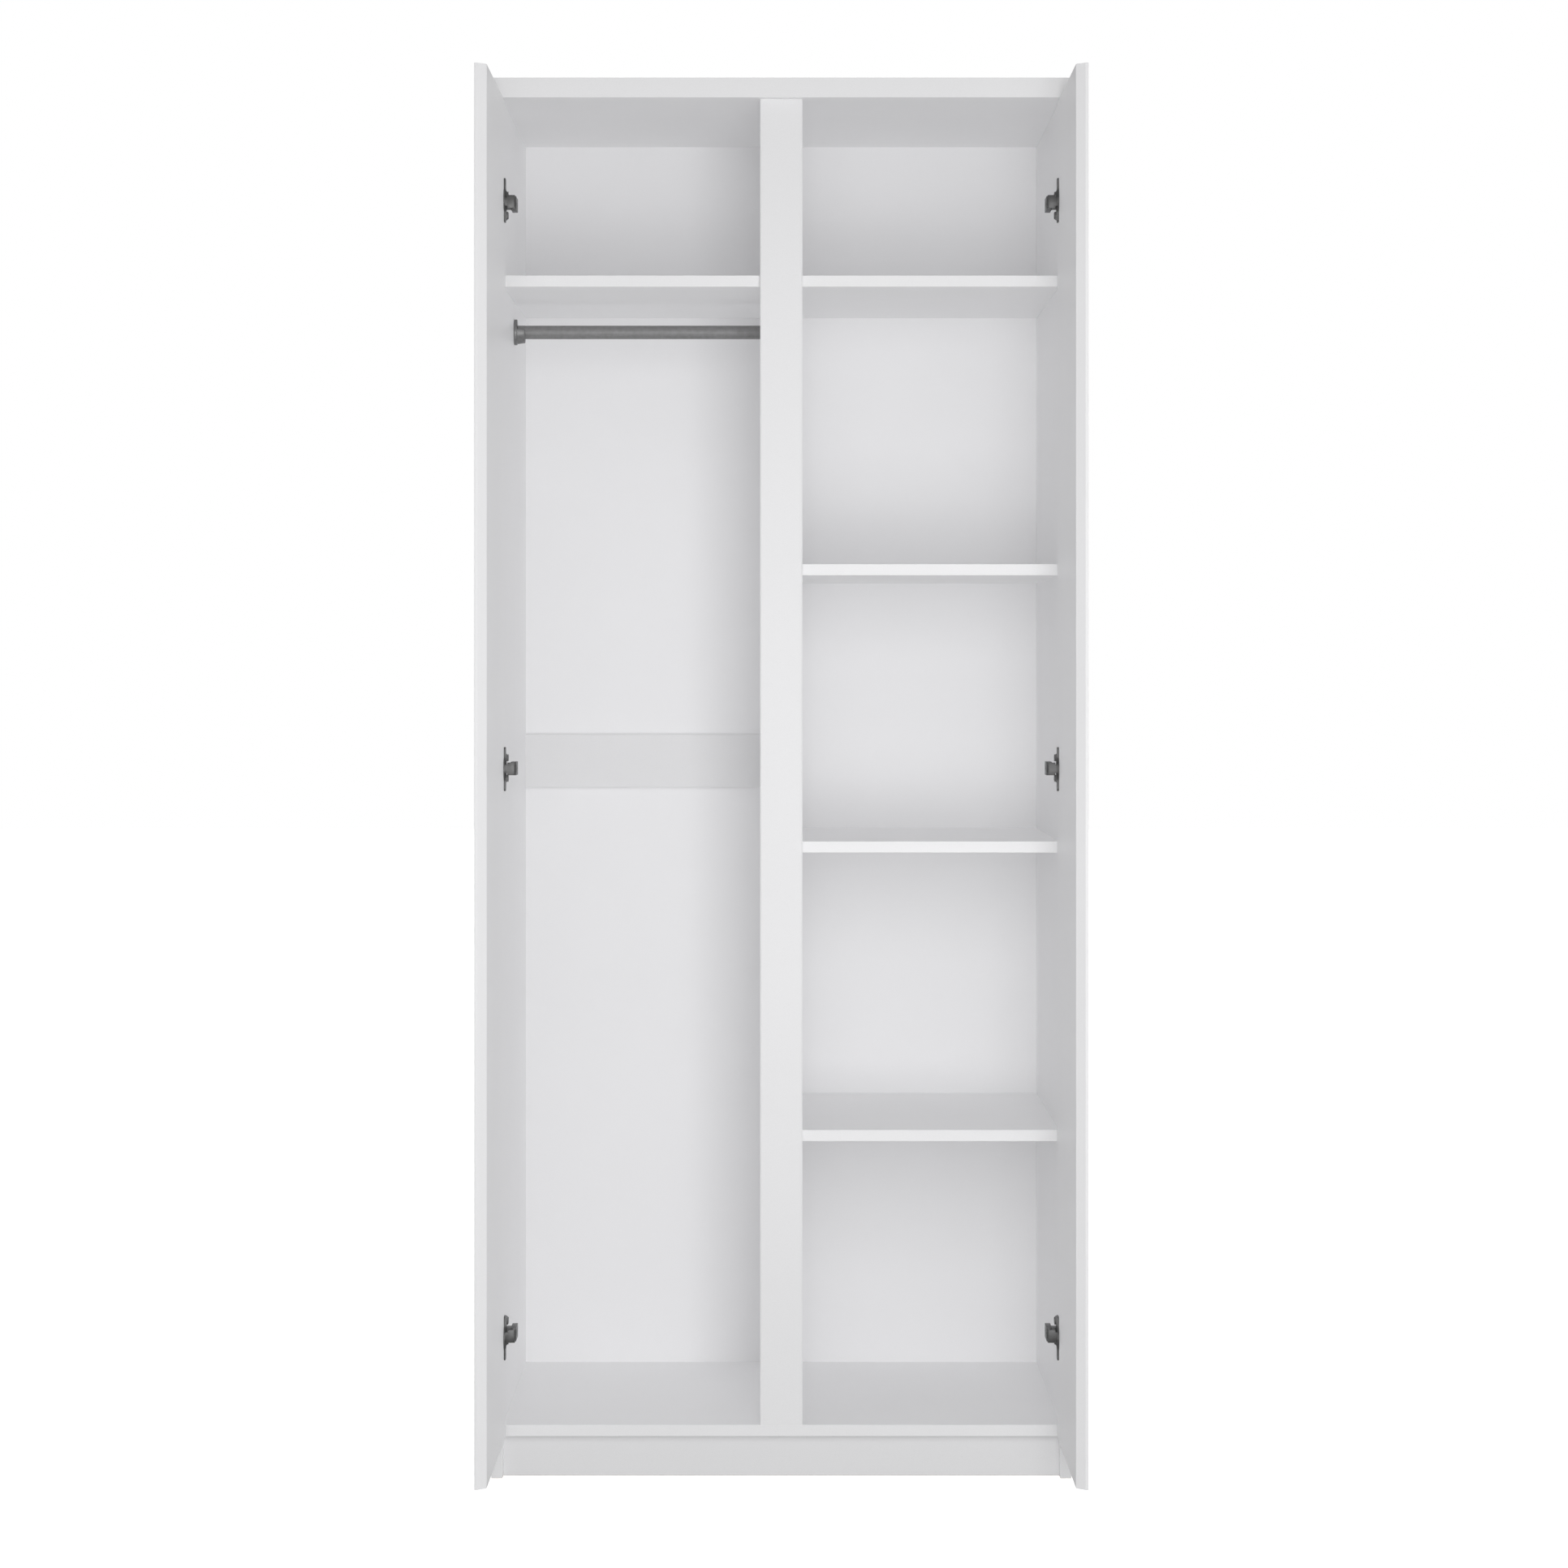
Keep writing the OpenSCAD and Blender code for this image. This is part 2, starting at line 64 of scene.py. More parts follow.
# Recesses and heads
FIT = 0.05 * MM
BEVEL_SHARE = 0.75
CUP_BORE_R = 17.55 * MM
SCREW_HEAD_DEPTH = 4 * MM
NAIL_HEAD_R = 1.7 * MM
NAIL_HEAD_SUNK = 0.35 * MM
NAIL_ARRIS = 0.08 * MM

# Screwdriver crosses: arm, width and depth, on a screw as shares of its head's radius
SCREW_CROSS = (0.62, 0.3, 0.45)
CAM_CROSS = (3.4 * MM, 1.5 * MM, 2.5 * MM)
CROSS_RISE = 0.3 * MM
CROSS_MOUTH = 1.08
CROSS_FOOT = 0.45

# Rounding of the metal parts' arrises
HINGE_ARRIS = {"plate": 0.35 * MM, "arm": 0.4 * MM, "link": 0.3 * MM, "cup": 0.3 * MM}
SOCKET_ARRIS = 0.5 * MM
SCREW_ARRIS = 0.12 * MM
CAM_ARRIS = 0.3 * MM

# Corners of a CAD mesh closer than this are one corner
WELD = 0.002 * MM


# ---- camera ----

CAMERA_BACK = 6.016
CAMERA_HEIGHT = 1.143
SENSOR_MM = 36.0
LENS_MM = 97.25
SHIFT_X = 0.0017
SHIFT_Y = -0.0704


def make_camera():
    """A level camera in front of the wardrobe, shifted to frame it."""
    data = bpy.data.cameras.new("camera")
    data.sensor_width = SENSOR_MM
    data.lens = LENS_MM
    data.shift_x = SHIFT_X
    data.shift_y = SHIFT_Y
    data.clip_end = 60
    camera = bpy.data.objects.new("camera", data)
    camera.location = (0, FRONT_Y - CAMERA_BACK, CAMERA_HEIGHT)
    camera.rotation_euler = (math.radians(90), 0, 0)
    bpy.context.scene.collection.objects.link(camera)
    bpy.context.scene.camera = camera


# ---- material helpers ----

def new_material(name):
    """A node material, with its tree and its shader."""
    mat = bpy.data.materials.new(name)
    mat.use_nodes = True
    tree = mat.node_tree
    shader = tree.nodes["Principled BSDF"]
    return mat, tree, shader


def noise(tree, scale, detail=2.0, rough=0.5, stretch=None):
    """Noise over the piece's own metres, stretched along an axis if asked."""
    coords = tree.nodes.new("ShaderNodeTexCoord")
    source = coords.outputs["Object"]
    if stretch:
        mapping = tree.nodes.new("ShaderNodeMapping")
        mapping.inputs["Scale"].default_value = stretch
        tree.links.new(source, mapping.inputs["Vector"])
        source = mapping.outputs["Vector"]
    node = tree.nodes.new("ShaderNodeTexNoise")
    node.inputs["Scale"].default_value = scale
    node.inputs["Detail"].default_value = detail
    node.inputs["Roughness"].default_value = rough
    tree.links.new(source, node.inputs["Vector"])
    return node.outputs["Fac"]


def ramp(tree, fac, stops):
    """Colour ramp over fac; stops are (position, colour) pairs."""
    node = tree.nodes.new("ShaderNodeValToRGB")
    elements = node.color_ramp.elements
    while len(elements) < len(stops):
        elements.new(0.5)
    for element, (position, colour) in zip(elements, stops):
        element.position = position
        element.color = (*colour, 1)
    tree.links.new(fac, node.inputs["Fac"])
    return node.outputs["Color"]


def remap(tree, fac, low, high, out_low, out_high):
    """Stretches a value from one range to another."""
    node = tree.nodes.new("ShaderNodeMapRange")
    node.inputs["From Min"].default_value = low
    node.inputs["From Max"].default_value = high
    node.inputs["To Min"].default_value = out_low
    node.inputs["To Max"].default_value = out_high
    tree.links.new(fac, node.inputs["Value"])
    return node.outputs["Result"]


def mix(tree, fac, a, b, mode="MIX"):
    """Blends two colours; each input is a socket or a constant."""
    node = tree.nodes.new("ShaderNodeMix")
    node.data_type = "RGBA"
    node.blend_type = mode
    for value, socket in ((fac, node.inputs["Factor"]), (a, node.inputs["A"]), (b, node.inputs["B"])):
        if hasattr(value, "links"):
            tree.links.new(value, socket)
        else:
            socket.default_value = value
    return node.outputs["Result"]


def bump(tree, height, distance, strength, below=None):
    """Relief from a height, on top of another relief if given."""
    node = tree.nodes.new("ShaderNodeBump")
    node.inputs["Strength"].default_value = strength
    node.inputs["Distance"].default_value = distance
    tree.links.new(height, node.inputs["Height"])
    if below is not None:
        tree.links.new(below, node.inputs["Normal"])
    return node.outputs["Normal"]


def grey(value, warm=0.0):
    """A grey, a little warmer or cooler by a share of its value."""
    return (value * (1 + warm), value, value * (1 - warm))


def pearl(value):
    """A white with a trace of violet."""
    return (value, value * 0.999, value * 1.009)


# ---- materials ----

def laminate_material(name, tone, rough, grain_bump):
    """White melamine: a faint pearl grain under a satin sheen, and slow shifts of tone."""
    mat, tree, shader = new_material(name)
    cloud = noise(tree, 5.0, 3.0)
    grain = noise(tree, 950.0, 2.0, 0.6)
    peel = noise(tree, 240.0, 2.0, 0.5)
    tone_map = ramp(tree, cloud, [(0.3, pearl(tone * 0.994)), (0.7, pearl(tone * 1.006))])
    speck = ramp(tree, grain, [(0.28, grey(0.972)), (0.55, grey(1.0))])
    tree.links.new(mix(tree, 1.0, tone_map, speck, "MULTIPLY"), shader.inputs["Base Color"])
    tree.links.new(remap(tree, grain, 0.2, 0.8, rough - 0.05, rough + 0.07), shader.inputs["Roughness"])
    fine = bump(tree, grain, 0.05 * MM, grain_bump)
    tree.links.new(bump(tree, peel, 0.05 * MM, 0.25, fine), shader.inputs["Normal"])
    shader.inputs["Specular IOR Level"].default_value = 0.4
    shader.inputs["Coat Weight"].default_value = 0.06
    shader.inputs["Coat Roughness"].default_value = 0.25
    return mat


def hardboard_material():
    """Raw rear face of the back sheets: brown pressed fibres with faint clouds."""
    mat, tree, shader = new_material("raw_hardboard")
    fibres = noise(tree, 420.0, 4.0, 0.7)
    cloud = noise(tree, 9.0, 4.0, 0.6)
    base = ramp(tree, cloud, [(0.3, (0.362, 0.24, 0.143)), (0.7, (0.392, 0.264, 0.16))])
    fleck = ramp(tree, fibres, [(0.3, grey(0.72)), (0.62, grey(1.06))])
    tree.links.new(mix(tree, 1.0, base, fleck, "MULTIPLY"), shader.inputs["Base Color"])
    tree.links.new(remap(tree, fibres, 0.2, 0.8, 0.66, 0.86), shader.inputs["Roughness"])
    tree.links.new(bump(tree, fibres, 0.15 * MM, 0.6), shader.inputs["Normal"])
    return mat


def chipboard_material():
    """Unbanded edges: pressed wood chips of mixed brown."""
    mat, tree, shader = new_material("raw_chipboard")
    coords = tree.nodes.new("ShaderNodeTexCoord")
    chips = tree.nodes.new("ShaderNodeTexVoronoi")
    chips.inputs["Scale"].default_value = 320.0
    tree.links.new(coords.outputs["Object"], chips.inputs["Vector"])
    stops = [(0.1, (0.34, 0.22, 0.12)), (0.5, (0.55, 0.40, 0.24)), (0.95, (0.70, 0.56, 0.38))]
    tint = ramp(tree, chips.outputs["Color"], stops)
    dust = ramp(tree, noise(tree, 1100.0, 3.0, 0.7), [(0.3, grey(0.7)), (0.6, grey(1.0))])
    tree.links.new(mix(tree, 1.0, tint, dust, "MULTIPLY"), shader.inputs["Base Color"])
    shader.inputs["Roughness"].default_value = 0.85
    tree.links.new(bump(tree, chips.outputs["Distance"], 0.4 * MM, 0.8), shader.inputs["Normal"])
    return mat


def metal_material(name, tone, rough, metallic, brushed=None, wear=0.0):
    """Coated or plated metal with fine streaks, blotches and rubbed spots."""
    mat, tree, shader = new_material(name)
    blotch = noise(tree, 140.0, 3.0, 0.6)
    streaks = noise(tree, 900.0, 2.0, 0.6, brushed)
    tint = ramp(tree, blotch, [(0.3, grey(tone * 0.9, 0.004)), (0.7, grey(tone * 1.08, -0.004))])
    rub = ramp(tree, streaks, [(0.35, grey(0.9)), (0.65, grey(1.0 + wear))])
    tree.links.new(mix(tree, 1.0, tint, rub, "MULTIPLY"), shader.inputs["Base Color"])
    tree.links.new(remap(tree, streaks, 0.25, 0.75, rough - 0.06, rough + 0.1), shader.inputs["Roughness"])
    tree.links.new(bump(tree, streaks, 0.03 * MM, 0.5), shader.inputs["Normal"])
    shader.inputs["Metallic"].default_value = metallic
    return mat


def beech_material():
    """Dowels: pale beech with short dark rays along the grain."""
    mat, tree, shader = new_material("beech")
    grain = noise(tree, 260.0, 4.0, 0.6, (0.2, 1.0, 1.0))
    tree.links.new(ramp(tree, grain, [(0.35, (0.42, 0.27, 0.14)), (0.6, (0.66, 0.47, 0.28))]),
                   shader.inputs["Base Color"])
    shader.inputs["Roughness"].default_value = 0.7
    tree.links.new(bump(tree, grain, 0.2 * MM, 0.5), shader.inputs["Normal"])
    return mat


MATERIALS = {}


def make_materials():
    """Every material, by the key that the builders below use."""
    MATERIALS.update(
        laminate=laminate_material("white_laminate", 0.82, 0.42, 0.25),
        # A darker white laminate: painted shade on the plinth set back under the floor panel, and the
        # greyer face of the rear rail
        dull=laminate_material("white_laminate_dull", 0.775, 0.46, 0.25),
        band=laminate_material("white_edge_band", 0.83, 0.34, 0.1),
        sheet=laminate_material("white_sheet", 0.88, 0.5, 0.35),
        hardboard=hardboard_material(),
        chipboard=chipboard_material(),
        hinge=metal_material("hinge_steel", 0.105, 0.42, 0.55, None, 0.1),
        socket=metal_material("socket_metal", 0.2, 0.42, 0.5, None, 0.1),
        rod=metal_material("rod_steel", 0.24, 0.55, 0.35, (0.02, 1.0, 1.0), 0.05),
        plated=metal_material("plated_steel", 0.62, 0.28, 1.0, None, 0.1),
        zinc=metal_material("cast_zinc", 0.5, 0.4, 1.0, None, 0.1),
        beech=beech_material(),
    )


def set_material(obj, key):
    """Gives a CAD node its material."""
    obj.data.materials.clear()
    obj.data.materials.append(MATERIALS[key])


# ---- board meshes ----

def rounded_box(lo, hi, radius, segments=2):
    """A box with every edge rounded."""
    bm = bmesh.new()
    middle = (Vector(lo) + Vector(hi)) / 2
    size = Vector(hi) - Vector(lo)
    place = Matrix.Translation(middle) @ Matrix.Diagonal((*size, 1))
    bmesh.ops.create_cube(bm, size=1, matrix=place)
    bmesh.ops.bevel(bm, geom=list(bm.edges), offset=radius, segments=segments, profile=0.5, affect="EDGES")
    return bm


def rounded_prism(outline, z0, z1, radius, segments=2):
    """An upright prism over a plan outline, with every edge rounded."""
    bm = bmesh.new()
    bottom = [bm.verts.new((x, y, z0)) for x, y in outline]
    face = bm.faces.new(bottom)
    top = bmesh.ops.extrude_face_region(bm, geom=[face])["geom"]
    for item in top:
        if isinstance(item, bmesh.types.BMVert):
            item.co.z = z1
    bmesh.ops.recalc_face_normals(bm, faces=list(bm.faces))
    bmesh.ops.bevel(bm, geom=list(bm.edges), offset=radius, segments=segments, profile=0.5, affect="EDGES")
    return bm


def join_parts(name, parts):
    """One object from (bmesh, material key) pairs."""
    mesh = bpy.data.meshes.new(name)
    keys = []
    whole = bmesh.new()
    for bm, key in parts:
        if key not in keys:
            keys.append(key)
        for face in bm.faces:
            face.material_index = keys.index(key)
        part = bpy.data.meshes.new("part")
        bm.to_mesh(part)
        bm.free()
        whole.from_mesh(part)
        bpy.data.meshes.remove(part)
    whole.to_mesh(mesh)
    whole.free()
    for key in keys:
        mesh.materials.append(MATERIALS[key])
    obj = bpy.data.objects.new(name, mesh)
    bpy.context.scene.collection.objects.link(obj)
    return obj


AXES = {"-x": (0, 0), "+x": (0, 1), "-y": (1, 0), "+y": (1, 1), "-z": (2, 0), "+z": (2, 1)}


def banded_board(node, bands, raw=(), face="laminate"):
    """A board as a core with separate edge bands on the named sides.

    Sides in raw show the bare chipboard of the core.
    """
    corners = [Vector(c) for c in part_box(node)]
    core = [c.copy() for c in corners]
    parts = []
    for side in tuple(bands) + tuple(raw):
        axis, end = AXES[side]
        inward = -1 if end else 1
        step = BAND_T if side in bands else RAW_T
        core[end][axis] += inward * (step + (BAND_SEAM if side in bands else 0))
        strip = [c.copy() for c in corners]
        strip[1 - end][axis] = corners[end][axis] + inward * step
        key, radius = ("band", BAND_R / 2) if side in bands else ("chipboard", RAW_R)
        parts.append((rounded_box(strip[0], strip[1], min(radius, step * 0.45)), key))
    parts.insert(0, (rounded_box(core[0], core[1], EDGE_R), face))
    piece = join_parts("panel_" + node, parts)
    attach(piece, "carcass")
    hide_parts(node)
    return piece


def make_boards():
    """All boards but the doors, with the bores that show in the top and floor panels."""
    banded_board("side_left", ["-y"], ["-z"])
    banded_board("side_right", ["-y"], ["-z"])
    top = banded_board("top_panel", ["-y", "-x", "+x"], ["+y"])
    floor = banded_board("floor_panel", ["-y"])
    # Painted shade: the set-back plinth gets the darker laminate for the shade under the floor panel's
    # overhang
    banded_board("plinth", [], ["-z"], "dull")
    banded_board("divider", ["-y"])
    banded_board("centre_stile", ["-x", "+x"])
    for shelf in ("shelf_left_top", "shelf_right_top", "shelf_right_upper", "shelf_right_middle",
                  "shelf_right_lower"):
        banded_board(shelf, ["-y"])
    banded_board("back_rail", ["-z", "+z"], (), "dull")
    heads = [head_of(points, 2) for points in islands("panel_screws")]
    for board, up in ((top, 1), (floor, -1)):
        shape = bmesh.new()
        for centre, outward, radius in heads:
            if outward.z == up:
                add_disc(shape, centre, 2, radius + FIT, 2 * SCREW_HEAD_DEPTH)
        if board is floor:
            for points in islands("cam_locks"):
                add_cam_bore(shape, points)
        cut(board, shape)


def add_cam_bore(shape, points):
    """The blind bore of one cam in the underside of the floor panel."""
    low = Vector([min(p[i] for p in points) for i in range(3)])
    high = Vector([max(p[i] for p in points) for i in range(3)])
    if high.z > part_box("floor_panel")[1].z:
        return
    middle = (low + high) / 2
    middle.z = low.z
    add_disc(shape, middle, 2, (high.x - low.x) / 2 + FIT, 2 * (high.z - low.z + FIT))


def make_back_sheets():
    """Hardboard sheets: white towards the inside, raw and nailed behind."""
    nails = [head_of(points, 1) for points in islands("back_nails")]
    heads = bmesh.new()
    for side in SIDES:
        node = "back_panel_" + side
        lo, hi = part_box(node)
        skin = Vector((hi.x, lo.y + SHEET_FACE_T, hi.z))
        parts = [
            (rounded_box(lo, skin, SHEET_FACE_R, 1), "sheet"),
            (rounded_box((lo.x, skin.y, lo.z), hi, SHEET_REAR_R), "hardboard"),
        ]
        piece = join_parts("sheet_" + node, parts)
        shape = bmesh.new()
        for centre, _, _ in nails:
            if lo.x < centre.x < hi.x:
                place = Vector((centre.x, hi.y, centre.z))
                add_disc(shape, place, 1, NAIL_HEAD_R + FIT, 2 * NAIL_HEAD_SUNK, 20)
                place.y -= NAIL_HEAD_SUNK / 2
                add_disc(heads, place, 1, NAIL_HEAD_R, 0.8 * NAIL_HEAD_SUNK, 20)
        cut(piece, shape)
        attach(piece, "carcass")
        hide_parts(node)
    bmesh.ops.bevel(heads, geom=list(heads.edges), offset=NAIL_ARRIS, segments=1, affect="EDGES")
    heads_piece = join_parts("nail_heads", [(heads, "plated")])
    smooth(heads_piece)
    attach(heads_piece, "carcass")


def make_doors():
    """Door slabs with the finger bevel, and a recess for each hinge cup."""
    for side in SIDES:
        node = "door_" + side
        lo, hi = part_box(node)
        sign = SIGN[side]
        inner = lo.x if sign > 0 else hi.x
        outer = hi.x if sign > 0 else lo.x
        flat = abs(outer - inner) * (1 - BEVEL_SHARE)
        outline = [
            (inner, hi.y),
            (outer, hi.y),
            (outer, lo.y),
            (outer - sign * flat, lo.y),
            (inner, lo.y + abs(outer - inner) - flat),
        ]
        piece = join_parts("panel_" + node, [(rounded_prism(outline, lo.z, hi.z, EDGE_R), "laminate")])
        shape = bmesh.new()
        for height in HEIGHTS:
            cup_lo, cup_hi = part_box(f"hinge_cup_{side}_{height}")
            centre = (cup_lo + cup_hi) / 2
            deepest = max(abs(cup_lo.x - inner), abs(cup_hi.x - inner))
            centre.x = inner
            add_disc(shape, centre, 0, CUP_BORE_R, 2 * (deepest + FIT), 64)
        cut(piece, shape)
        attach(piece, side + "_door")
        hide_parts(node)


# ---- hardware ----

def islands(node):
    """Corner lists of the separate solids in a CAD node."""
    bm = bmesh.new()
    bm.from_mesh(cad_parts[node].data)
    bmesh.ops.remove_doubles(bm, verts=list(bm.verts), dist=WELD)
    left = set(bm.verts)
    found = []
    for start in bm.verts:
        if start not in left:
            continue
        left.remove(start)
        stack = [start]
        group = []
        while stack:
            vert = stack.pop()
            group.append(vert.co.copy())
            for edge in vert.link_edges:
                other = edge.other_vert(vert)
                if other in left:
                    left.remove(other)
                    stack.append(other)
        found.append(group)
    bm.free()
    return found


def head_of(points, axis):
    """Middle, outward direction and radius of a screw's head; axis is the screw's own."""
    low = min(p[axis] for p in points)
    high = max(p[axis] for p in points)

    def radius(end):
        ring = [p for p in points if abs(p[axis] - end) < 0.01 * MM]
        centre = sum(ring, Vector()) / len(ring)
        return max((p - centre).length for p in ring), centre

    low_r, low_c = radius(low)
    high_r, high_c = radius(high)
    outward = Vector((0, 0, 0))
    outward[axis] = 1 if high_r > low_r else -1
    return (high_c if high_r > low_r else low_c), outward, max(low_r, high_r)


def add_cross(bm, centre, outward, arm, width, depth):
    """A tapered cross-shaped plug, for cutting a screwdriver recess."""
    half = width / 2
    quarter = [(arm, -half), (arm, half), (half, half)]
    outline = []
    for turn in range(4):
        spin = Matrix.Rotation(turn * math.pi / 2, 2)
        outline += [spin @ Vector(p) for p in quarter]
    frame_turn = outward.to_track_quat("Z", "Y").to_matrix()
    rings = []
    for height, scale in ((CROSS_RISE, CROSS_MOUTH), (-depth, CROSS_FOOT)):
        rings.append([bm.verts.new(centre + frame_turn @ Vector((x * scale, y * scale, height)))
                      for x, y in outline])
    bm.faces.new(rings[0])
    bm.faces.new(list(reversed(rings[1])))
    count = len(outline)
    for i in range(count):
        j = (i + 1) % count
        bm.faces.new((rings[0][i], rings[1][i], rings[1][j], rings[0][j]))


def settle(obj):
    """Applies an object's modifiers."""
    shaped = obj.evaluated_get(bpy.context.evaluated_depsgraph_get())
    mesh = bpy.data.meshes.new_from_object(shaped)
    obj.modifiers.clear()
    obj.data = mesh


def cut(piece, bm):
    """Cuts a bmesh shape out of a piece."""
    bmesh.ops.recalc_face_normals(bm, faces=list(bm.faces))
    cutter = join_parts("cutter", [(bm, "laminate")])
    modifier = piece.modifiers.new("cut", "BOOLEAN")
    modifier.operation = "DIFFERENCE"
    modifier.solver = "EXACT"
    modifier.object = cutter
    settle(piece)
    bpy.data.objects.remove(cutter)


def add_disc(bm, centre, axis, radius, length, sides=48):
    """A closed cylinder about a point, along X, Y or Z."""
    direction = Vector((0, 0, 0))
    direction[axis] = 1
    turn = direction.to_track_quat("Z", "Y").to_matrix().to_4x4()
    bmesh.ops.create_cone(bm, cap_ends=True, segments=sides, radius1=radius, radius2=radius,
                          depth=length, matrix=Matrix.Translation(centre) @ turn)


def soft_copy(node, body, key, arris, cutter=None):
    """A copy of a CAD node with small rounded arrises, which stands for the node."""
    bm = bmesh.new()
    bm.from_mesh(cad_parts[node].data)
    bmesh.ops.remove_doubles(bm, verts=list(bm.verts), dist=WELD)
    bmesh.ops.dissolve_limit(bm, angle_limit=math.radians(0.5), verts=list(bm.verts), edges=list(bm.edges))
    piece = join_parts("metal_" + node, [(bm, key)])
    if cutter:
        cut(piece, cutter)
    modifier = piece.modifiers.new("arris", "BEVEL")
    modifier.width = arris
    modifier.segments = 2
    modifier.limit_method = "ANGLE"
    modifier.angle_limit = math.radians(35)
    settle(piece)
    smooth(piece)
    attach(piece, body)
    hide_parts(node)
    return piece


def smooth(piece, angle=32):
    """Smooth shading, with edges sharper than the angle kept."""
    mesh = piece.data
    mesh.shade_smooth()
    mesh.set_sharp_from_angle(angle=math.radians(angle))


def make_screws(node, body, axis, key="plated"):
    """Screws of one CAD node, with cross recesses in their heads."""
    crosses = bmesh.new()
    for points in islands(node):
        centre, outward, radius = head_of(points, axis)
        add_cross(crosses, centre, outward, *(radius * share for share in SCREW_CROSS))
    soft_copy(node, body, key, SCREW_ARRIS, crosses)


def make_hinges():
    """The plate, arm, link and cup of each hinge, with all their screws and pins."""
    for side in SIDES:
        bodies = {
            "plate": "carcass",
            "arm": "carcass",
            "link": side + "_hinge_links",
            "cup": side + "_door",
        }
        for height in HEIGHTS:
            for part, body in bodies.items():
                node = f"hinge_{part}_{side}_{height}"
                soft_copy(node, body, "hinge", HINGE_ARRIS[part])
        make_screws("hinge_cup_screws_" + side, side + "_door", 0, "hinge")
        set_material(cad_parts["hinge_cup_pins_" + side], "hinge")
    make_screws("hinge_plate_screws", "carcass", 0, "hinge")
    make_screws("hinge_arm_screws", "carcass", 0, "hinge")
    set_material(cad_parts["hinge_arm_pins"], "hinge")


def make_rod():
    """The hanging rod and its two sockets."""
    for side in SIDES:
        soft_copy("rod_socket_" + side, "carcass", "socket", SOCKET_ARRIS)
    make_screws("rod_socket_screws", "carcass", 0, "socket")
    set_material(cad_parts["hanging_rod"], "rod")


def make_fasteners():
    """Panel screws, cam locks, cam bolts, nails and dowels."""
    make_screws("panel_screws", "carcass", 2)
    crosses = bmesh.new()
    for points in islands("cam_locks"):
        low = Vector([min(p[i] for p in points) for i in range(3)])
        high = Vector([max(p[i] for p in points) for i in range(3)])
        size = high - low
        axis = min(range(3), key=lambda i: size[i])
        face = (low + high) / 2
        outward = Vector((0, 0, 0))
        outward[axis] = -1 if axis == 2 else 1
        face[axis] = low[axis] if axis == 2 else high[axis]
        add_cross(crosses, face, outward, *CAM_CROSS)
    soft_copy("cam_locks", "carcass", "zinc", CAM_ARRIS, crosses)
    for node in ("cam_bolts", "back_nails"):
        set_material(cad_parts[node], "plated")
    for node in ("shelf_dowels", "panel_dowels"):
        set_material(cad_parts[node], "beech")


# ---- studio ----

WORLD_STRENGTH = 0.42
FLOOR_GLOW = 0.75

# Soft boxes: place, aim, (width, height), watts
SOFT_BOXES = {
    "key": ((0.23, -3.0, 1.07), (0.23, 0, 1.07), (0.72, 1.75), 29),
    "front": ((0, -8.0, 1.2), (0, 0, 1.0), (3.0, 3.0), 46),
    "high": ((0.3, -6.0, 3.2), (0, 0, 1.0), (2.0, 2.0), 5.5),
    "low": ((0.3, -5.0, 0.4), (0, 0, 1.0), (2.0, 0.6), 13),
}

FILL_ANGLE = 0.3
FLOOR_HALF = 25.0
FLOOR_LEVEL = -0.2 * MM

# Fills: direction of travel, strength, casts shadows
FILLS = {
    "from_left": ((1, 0, 0), 0.3, False),
    "from_right": ((-1, 0, 0), 0.53, False),
    "from_below": ((0, 0, 1), 0.355, False),
    "from_above": ((0, 0, -1), 0.395, False),
    "from_behind": ((0, -1, 0), 1.5, True),
}


def add_light(name, kind, location, direction):
    """A light that shines along a direction and stays out of the picture."""
    data = bpy.data.lights.new(name, kind)
    light = bpy.data.objects.new(name, data)
    light.location = location
    light.rotation_euler = Vector(direction).to_track_quat("-Z", "Y").to_euler()
    light.visible_camera = False
    bpy.context.scene.collection.objects.link(light)
    return data


def make_lights():
    """Soft boxes in front, and even fills from all round."""
    for name, (place, aim, size, watts) in SOFT_BOXES.items():
        data = add_light(name, "AREA", place, Vector(aim) - Vector(place))
        data.shape = "RECTANGLE"
        data.size, data.size_y = size
        data.energy = watts
    for name, (travel, strength, shadows) in FILLS.items():
        data = add_light(name, "SUN", (0, 0, 0), travel)
        data.energy = strength
        data.angle = FILL_ANGLE
        data.use_shadow = shadows
        bpy.data.objects[name].visible_glossy = False


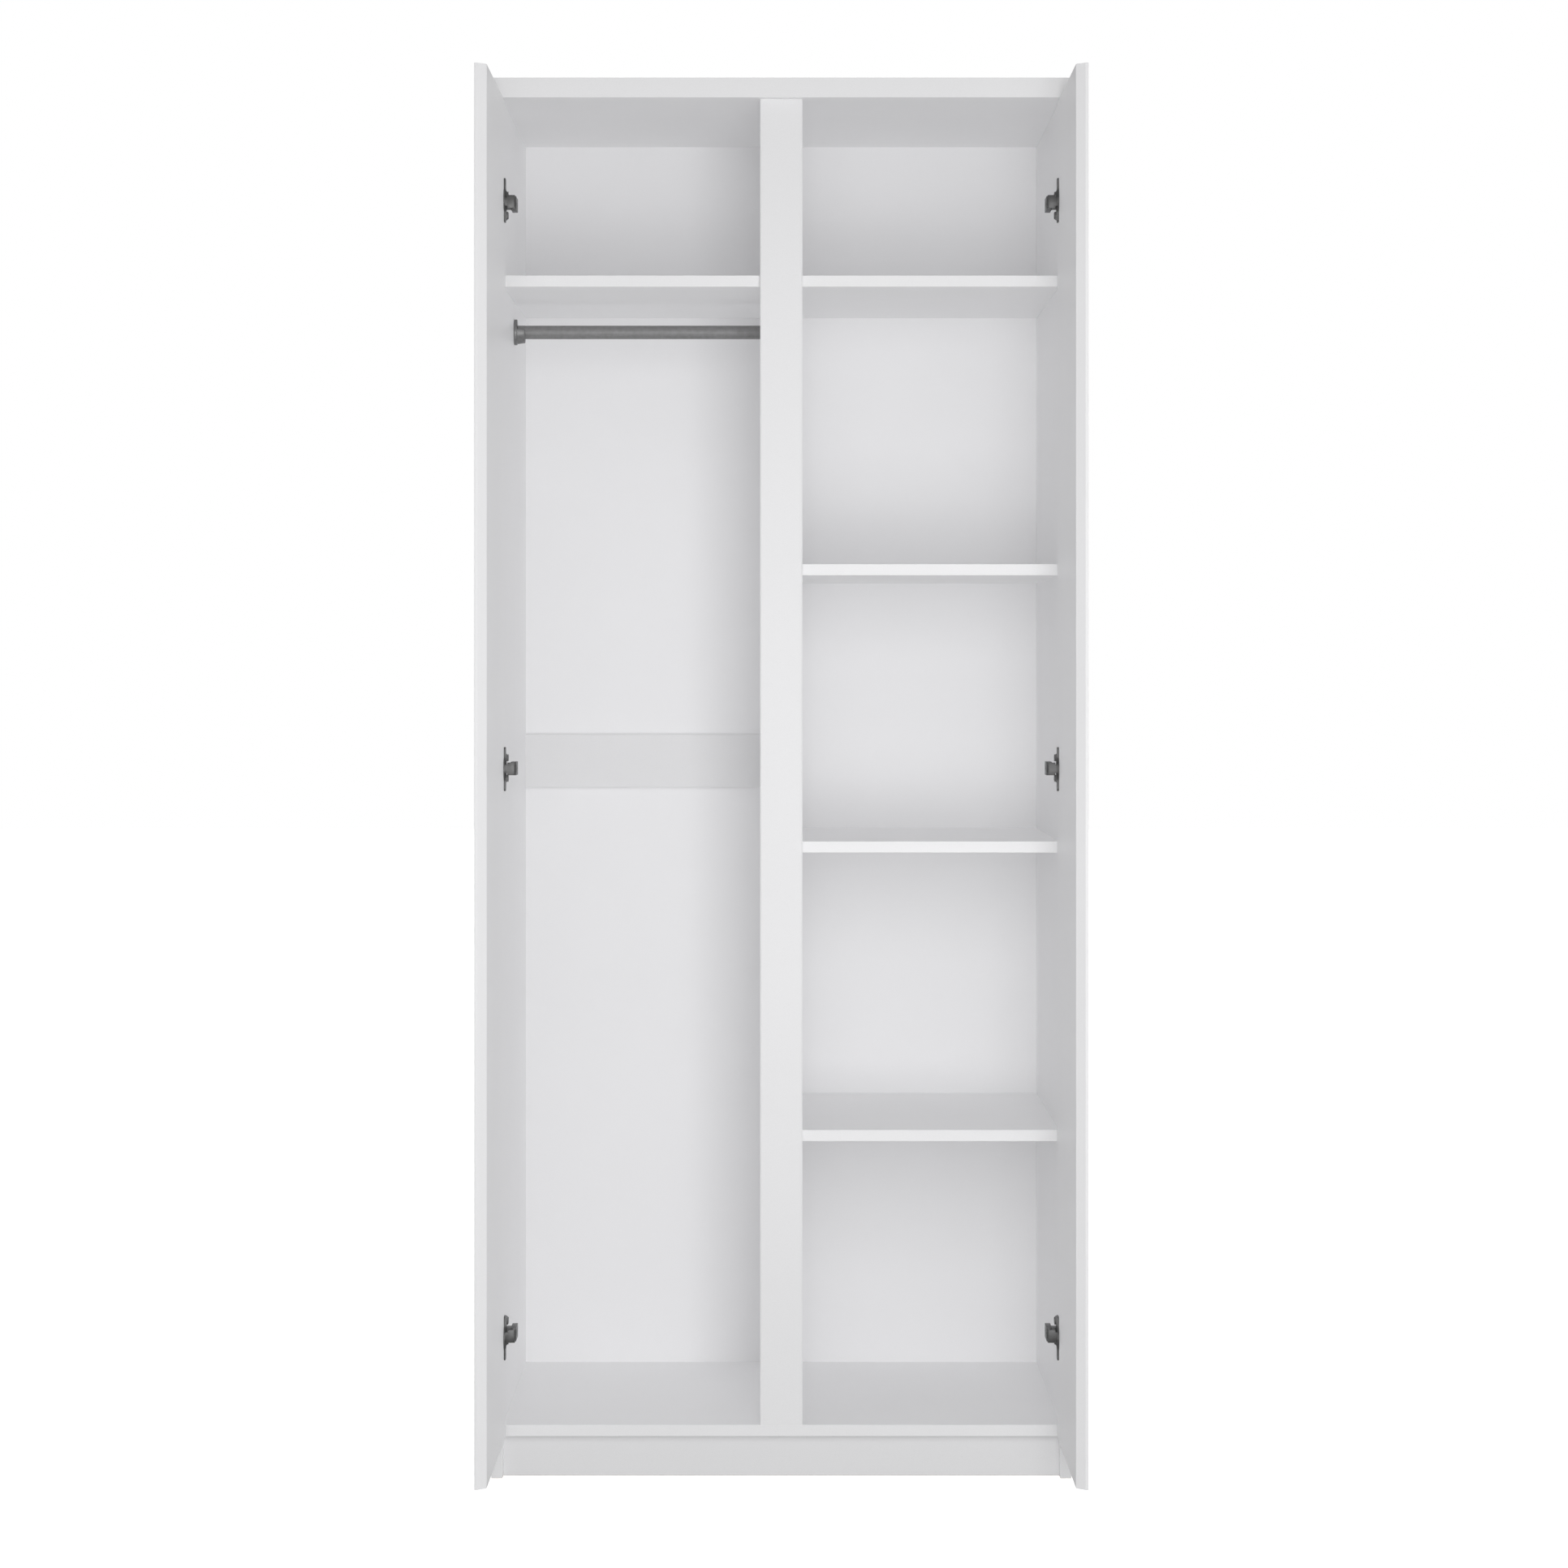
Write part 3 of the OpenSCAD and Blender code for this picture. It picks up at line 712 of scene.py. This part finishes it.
def make_world():
    """Plain white to the camera, and a dimmer soft dome for everything else."""
    world = bpy.data.worlds.new("studio")
    bpy.context.scene.world = world
    world.use_nodes = True
    tree = world.node_tree
    dome = tree.nodes["Background"]
    dome.inputs["Color"].default_value = (1, 1, 1, 1)
    dome.inputs["Strength"].default_value = WORLD_STRENGTH
    seen = tree.nodes.new("ShaderNodeBackground")
    seen.inputs["Color"].default_value = (1, 1, 1, 1)
    path = tree.nodes.new("ShaderNodeLightPath")
    blend = tree.nodes.new("ShaderNodeMixShader")
    tree.links.new(path.outputs["Is Camera Ray"], blend.inputs["Fac"])
    tree.links.new(dome.outputs["Background"], blend.inputs[1])
    tree.links.new(seen.outputs["Background"], blend.inputs[2])
    tree.links.new(blend.outputs["Shader"], tree.nodes["World Output"].inputs["Surface"])


def make_floor():
    """Plain pale floor, which the camera sees and no light bounces from."""
    mat, tree, shader = new_material("studio_floor")
    grain = noise(tree, 30.0, 2.0)
    tree.links.new(ramp(tree, grain, [(0.3, grey(0.93)), (0.7, grey(0.95))]), shader.inputs["Base Color"])
    shader.inputs["Roughness"].default_value = 0.9
    shader.inputs["Specular IOR Level"].default_value = 0.1
    shader.inputs["Emission Color"].default_value = (1, 1, 1, 1)
    shader.inputs["Emission Strength"].default_value = FLOOR_GLOW
    mesh = bpy.data.meshes.new("studio_floor")
    signs = ((-1, -1), (1, -1), (1, 1), (-1, 1))
    corners = [(x * FLOOR_HALF, y * FLOOR_HALF, FLOOR_LEVEL) for x, y in signs]
    mesh.from_pydata(corners, [], [(0, 1, 2, 3)])
    mesh.materials.append(mat)
    floor = bpy.data.objects.new("studio_floor", mesh)
    floor.visible_diffuse = False
    floor.visible_glossy = False
    floor.visible_shadow = False
    bpy.context.scene.collection.objects.link(floor)


def make_studio():
    bpy.context.scene.view_settings.view_transform = "Standard"
    make_world()
    make_floor()
    make_lights()


make_camera()
make_materials()
make_boards()
make_back_sheets()
make_doors()
make_hinges()
make_rod()
make_fasteners()
make_studio()
